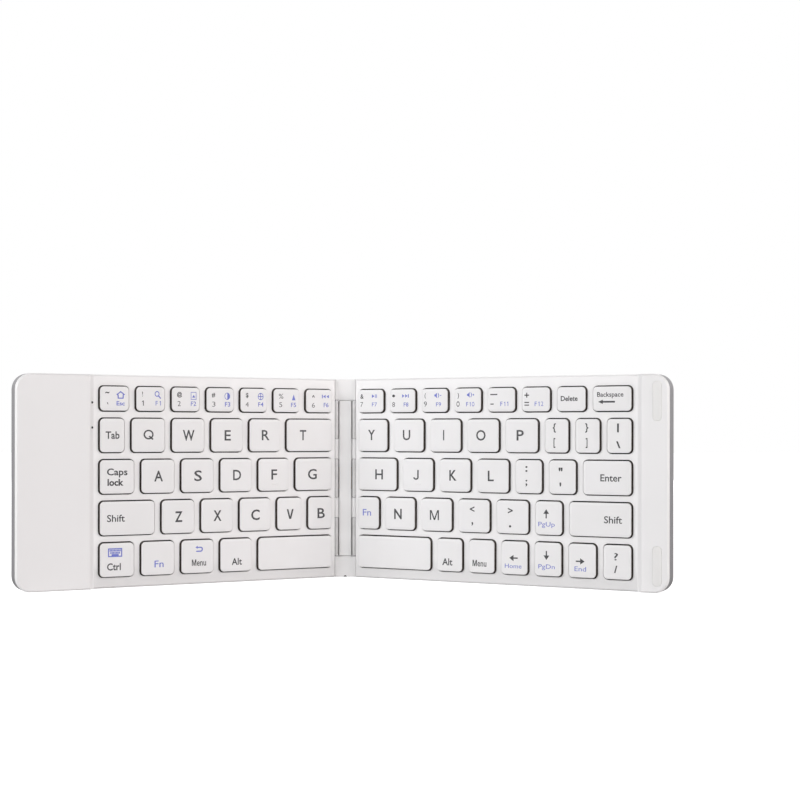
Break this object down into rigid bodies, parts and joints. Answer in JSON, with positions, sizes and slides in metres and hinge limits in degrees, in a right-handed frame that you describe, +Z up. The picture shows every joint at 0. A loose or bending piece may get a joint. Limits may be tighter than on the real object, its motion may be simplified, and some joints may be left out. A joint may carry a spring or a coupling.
{
  "type": "folding keyboard",
  "caption": "Pocket computer keyboard in two halves hinged on a narrow spine, standing half open, with low square keys and a metal back.",
  "frame": {"origin": "middle of the foot of the hinge spine, on the plane of the two pins, at the height of the front edges that it stands on", "axes": "+Z up along the hinge, from the front edges to the back edges; +X to the right; the keys face -Y"},
  "size_m": [0.2746, 0.0739, 0.0906],
  "materials": {
    "case_white": "satin moulded white",
    "hinge_white": "satin moulded white",
    "leaf_metal": "satin, as cast",
    "cap_white": "fine matte white",
    "back_aluminium": "sand blasted, with a bright edge",
    "pin_steel": "ground",
    "sheet_steel": "rolled",
    "ribbon_amber": "polyimide film",
    "contact_dark": "dark film",
    "cell_silver": "foil pouch",
    "board_green": "solder mask",
    "light_dark": "smoked",
    "magnet_nickel": "nickel plated",
    "screw_steel": "blackened",
    "foot_grey": "matt",
    "pad_silicone": "translucent silicone",
    "lever_grey": "moulded",
    "dome_silicone": "translucent silicone"
  },
  "bodies": {
    "spine": {"hinge_spine": "hinge_white", "spine_end_cap_back": "hinge_white", "spine_end_cap_front": "hinge_white", "left_hinge_pin": "pin_steel", "right_hinge_pin": "pin_steel", "flex_ribbon": "ribbon_amber"},
    "left_half": {"left_back_cover": "back_aluminium", "left_top_case": "case_white", "left_hinge_leaf": "leaf_metal", "left_key_plate": "sheet_steel", "left_contact_sheet": "contact_dark", "battery": "cell_silver", "main_board": "board_green", "charging_socket": "pin_steel", "light_pipes": "light_dark", "left_magnets": "magnet_nickel", "left_screws": "screw_steel", "left_feet": "foot_grey", "left_levers_1": "lever_grey", "left_levers_2": "lever_grey", "left_levers_3": "lever_grey", "left_levers_4": "lever_grey", "left_levers_5": "lever_grey", "left_domes_1": "dome_silicone", "left_domes_2": "dome_silicone", "left_domes_3": "dome_silicone", "left_domes_4": "dome_silicone", "left_domes_5": "dome_silicone"},
    "right_half": {"right_back_cover": "back_aluminium", "right_top_case": "case_white", "right_hinge_leaf": "leaf_metal", "right_key_plate": "sheet_steel", "right_contact_sheet": "contact_dark", "closing_pads": "pad_silicone", "right_magnets": "magnet_nickel", "right_screws": "screw_steel", "right_feet": "foot_grey", "right_levers_1": "lever_grey", "right_levers_2": "lever_grey", "right_levers_3": "lever_grey", "right_levers_4": "lever_grey", "right_levers_5": "lever_grey", "right_domes_1": "dome_silicone", "right_domes_2": "dome_silicone", "right_domes_3": "dome_silicone", "right_domes_4": "dome_silicone", "right_domes_5": "dome_silicone"},
    "left_keys_1": {"left_caps_1": "cap_white"},
    "left_keys_2": {"left_caps_2": "cap_white"},
    "left_keys_3": {"left_caps_3": "cap_white"},
    "left_keys_4": {"left_caps_4": "cap_white"},
    "left_keys_5": {"left_caps_5": "cap_white"},
    "right_keys_1": {"right_caps_1": "cap_white"},
    "right_keys_2": {"right_caps_2": "cap_white"},
    "right_keys_3": {"right_caps_3": "cap_white"},
    "right_keys_4": {"right_caps_4": "cap_white"},
    "right_keys_5": {"right_caps_5": "cap_white"}
  },
  "joints": [
    {"name": "left_fold", "type": "hinge", "parent": "spine", "child": "left_half", "pos_m": [-0.00415, 0, 0], "axis": [0, 0, 1], "range_deg": [-27, 63], "deforming": ["flex_ribbon"]},
    {"name": "right_fold", "type": "hinge", "parent": "spine", "child": "right_half", "pos_m": [0.00415, 0, 0], "axis": [0, 0, -1], "range_deg": [-27, 63]},
    {"name": "left_press_1", "type": "slide", "parent": "left_half", "child": "left_keys_1", "axis": [-0.454, 0.891, 0], "range_m": [0, 0.0015], "stiffness_N_per_m": 300, "springref_m": -0.001, "deforming": ["left_levers_1", "left_domes_1"]},
    {"name": "left_press_2", "type": "slide", "parent": "left_half", "child": "left_keys_2", "axis": [-0.454, 0.891, 0], "range_m": [0, 0.0015], "stiffness_N_per_m": 300, "springref_m": -0.001, "deforming": ["left_levers_2", "left_domes_2"]},
    {"name": "left_press_3", "type": "slide", "parent": "left_half", "child": "left_keys_3", "axis": [-0.454, 0.891, 0], "range_m": [0, 0.0015], "stiffness_N_per_m": 300, "springref_m": -0.001, "deforming": ["left_levers_3", "left_domes_3"]},
    {"name": "left_press_4", "type": "slide", "parent": "left_half", "child": "left_keys_4", "axis": [-0.454, 0.891, 0], "range_m": [0, 0.0015], "stiffness_N_per_m": 300, "springref_m": -0.001, "deforming": ["left_levers_4", "left_domes_4"]},
    {"name": "left_press_5", "type": "slide", "parent": "left_half", "child": "left_keys_5", "axis": [-0.454, 0.891, 0], "range_m": [0, 0.0015], "stiffness_N_per_m": 300, "springref_m": -0.001, "deforming": ["left_levers_5", "left_domes_5"]},
    {"name": "right_press_1", "type": "slide", "parent": "right_half", "child": "right_keys_1", "axis": [0.454, 0.891, 0], "range_m": [0, 0.0015], "stiffness_N_per_m": 300, "springref_m": -0.001, "deforming": ["right_levers_1", "right_domes_1"]},
    {"name": "right_press_2", "type": "slide", "parent": "right_half", "child": "right_keys_2", "axis": [0.454, 0.891, 0], "range_m": [0, 0.0015], "stiffness_N_per_m": 300, "springref_m": -0.001, "deforming": ["right_levers_2", "right_domes_2"]},
    {"name": "right_press_3", "type": "slide", "parent": "right_half", "child": "right_keys_3", "axis": [0.454, 0.891, 0], "range_m": [0, 0.0015], "stiffness_N_per_m": 300, "springref_m": -0.001, "deforming": ["right_levers_3", "right_domes_3"]},
    {"name": "right_press_4", "type": "slide", "parent": "right_half", "child": "right_keys_4", "axis": [0.454, 0.891, 0], "range_m": [0, 0.0015], "stiffness_N_per_m": 300, "springref_m": -0.001, "deforming": ["right_levers_4", "right_domes_4"]},
    {"name": "right_press_5", "type": "slide", "parent": "right_half", "child": "right_keys_5", "axis": [0.454, 0.891, 0], "range_m": [0, 0.0015], "stiffness_N_per_m": 300, "springref_m": -0.001, "deforming": ["right_levers_5", "right_domes_5"]}
  ]
}
